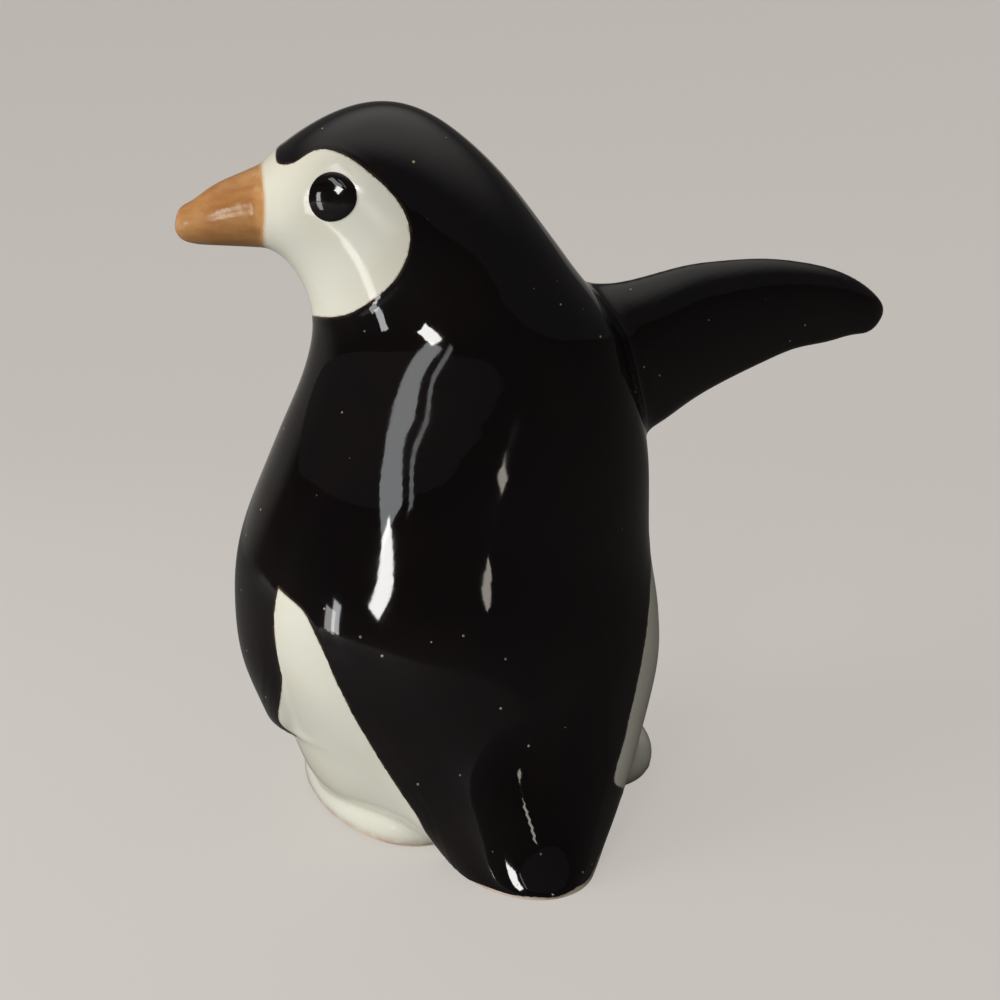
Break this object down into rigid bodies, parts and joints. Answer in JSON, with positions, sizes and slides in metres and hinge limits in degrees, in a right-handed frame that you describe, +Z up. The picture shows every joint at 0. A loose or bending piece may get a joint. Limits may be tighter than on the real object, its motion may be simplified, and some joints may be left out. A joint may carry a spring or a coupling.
{
  "type": "penguin figurine",
  "caption": "Small hollow cast ceramic penguin ornament with glossy glazes, head turned aside and one flipper raised, standing on a flat base.",
  "frame": {"origin": "on the flat base, under the middle of the body", "axes": "+Z up; the body faces -Y; the figure's left side is +X; the raised flipper points to -X"},
  "size_m": [0.0687, 0.0449, 0.0664],
  "materials": {
    "fired_clay": "bare fired pale clay, matt",
    "white_glaze": "glossy cream white glaze",
    "black_glaze": "high gloss black glaze, brownish where thin",
    "orange_glaze": "glossy orange brown glaze",
    "eye_glaze": "raised dot of glossy black glaze"
  },
  "bodies": {
    "root": {"body_casting": "fired_clay", "head_casting": "fired_clay", "right_flipper": "fired_clay", "left_flipper": "fired_clay", "left_foot": "fired_clay", "right_foot": "fired_clay", "belly_glaze": "white_glaze", "face_glaze": "white_glaze", "left_foot_glaze": "white_glaze", "right_foot_glaze": "white_glaze", "back_glaze": "black_glaze", "hood_glaze": "black_glaze", "right_flipper_glaze": "black_glaze", "left_flipper_glaze": "black_glaze", "beak_glaze": "orange_glaze", "right_eye": "eye_glaze", "left_eye": "eye_glaze"}
  },
  "joints": []
}
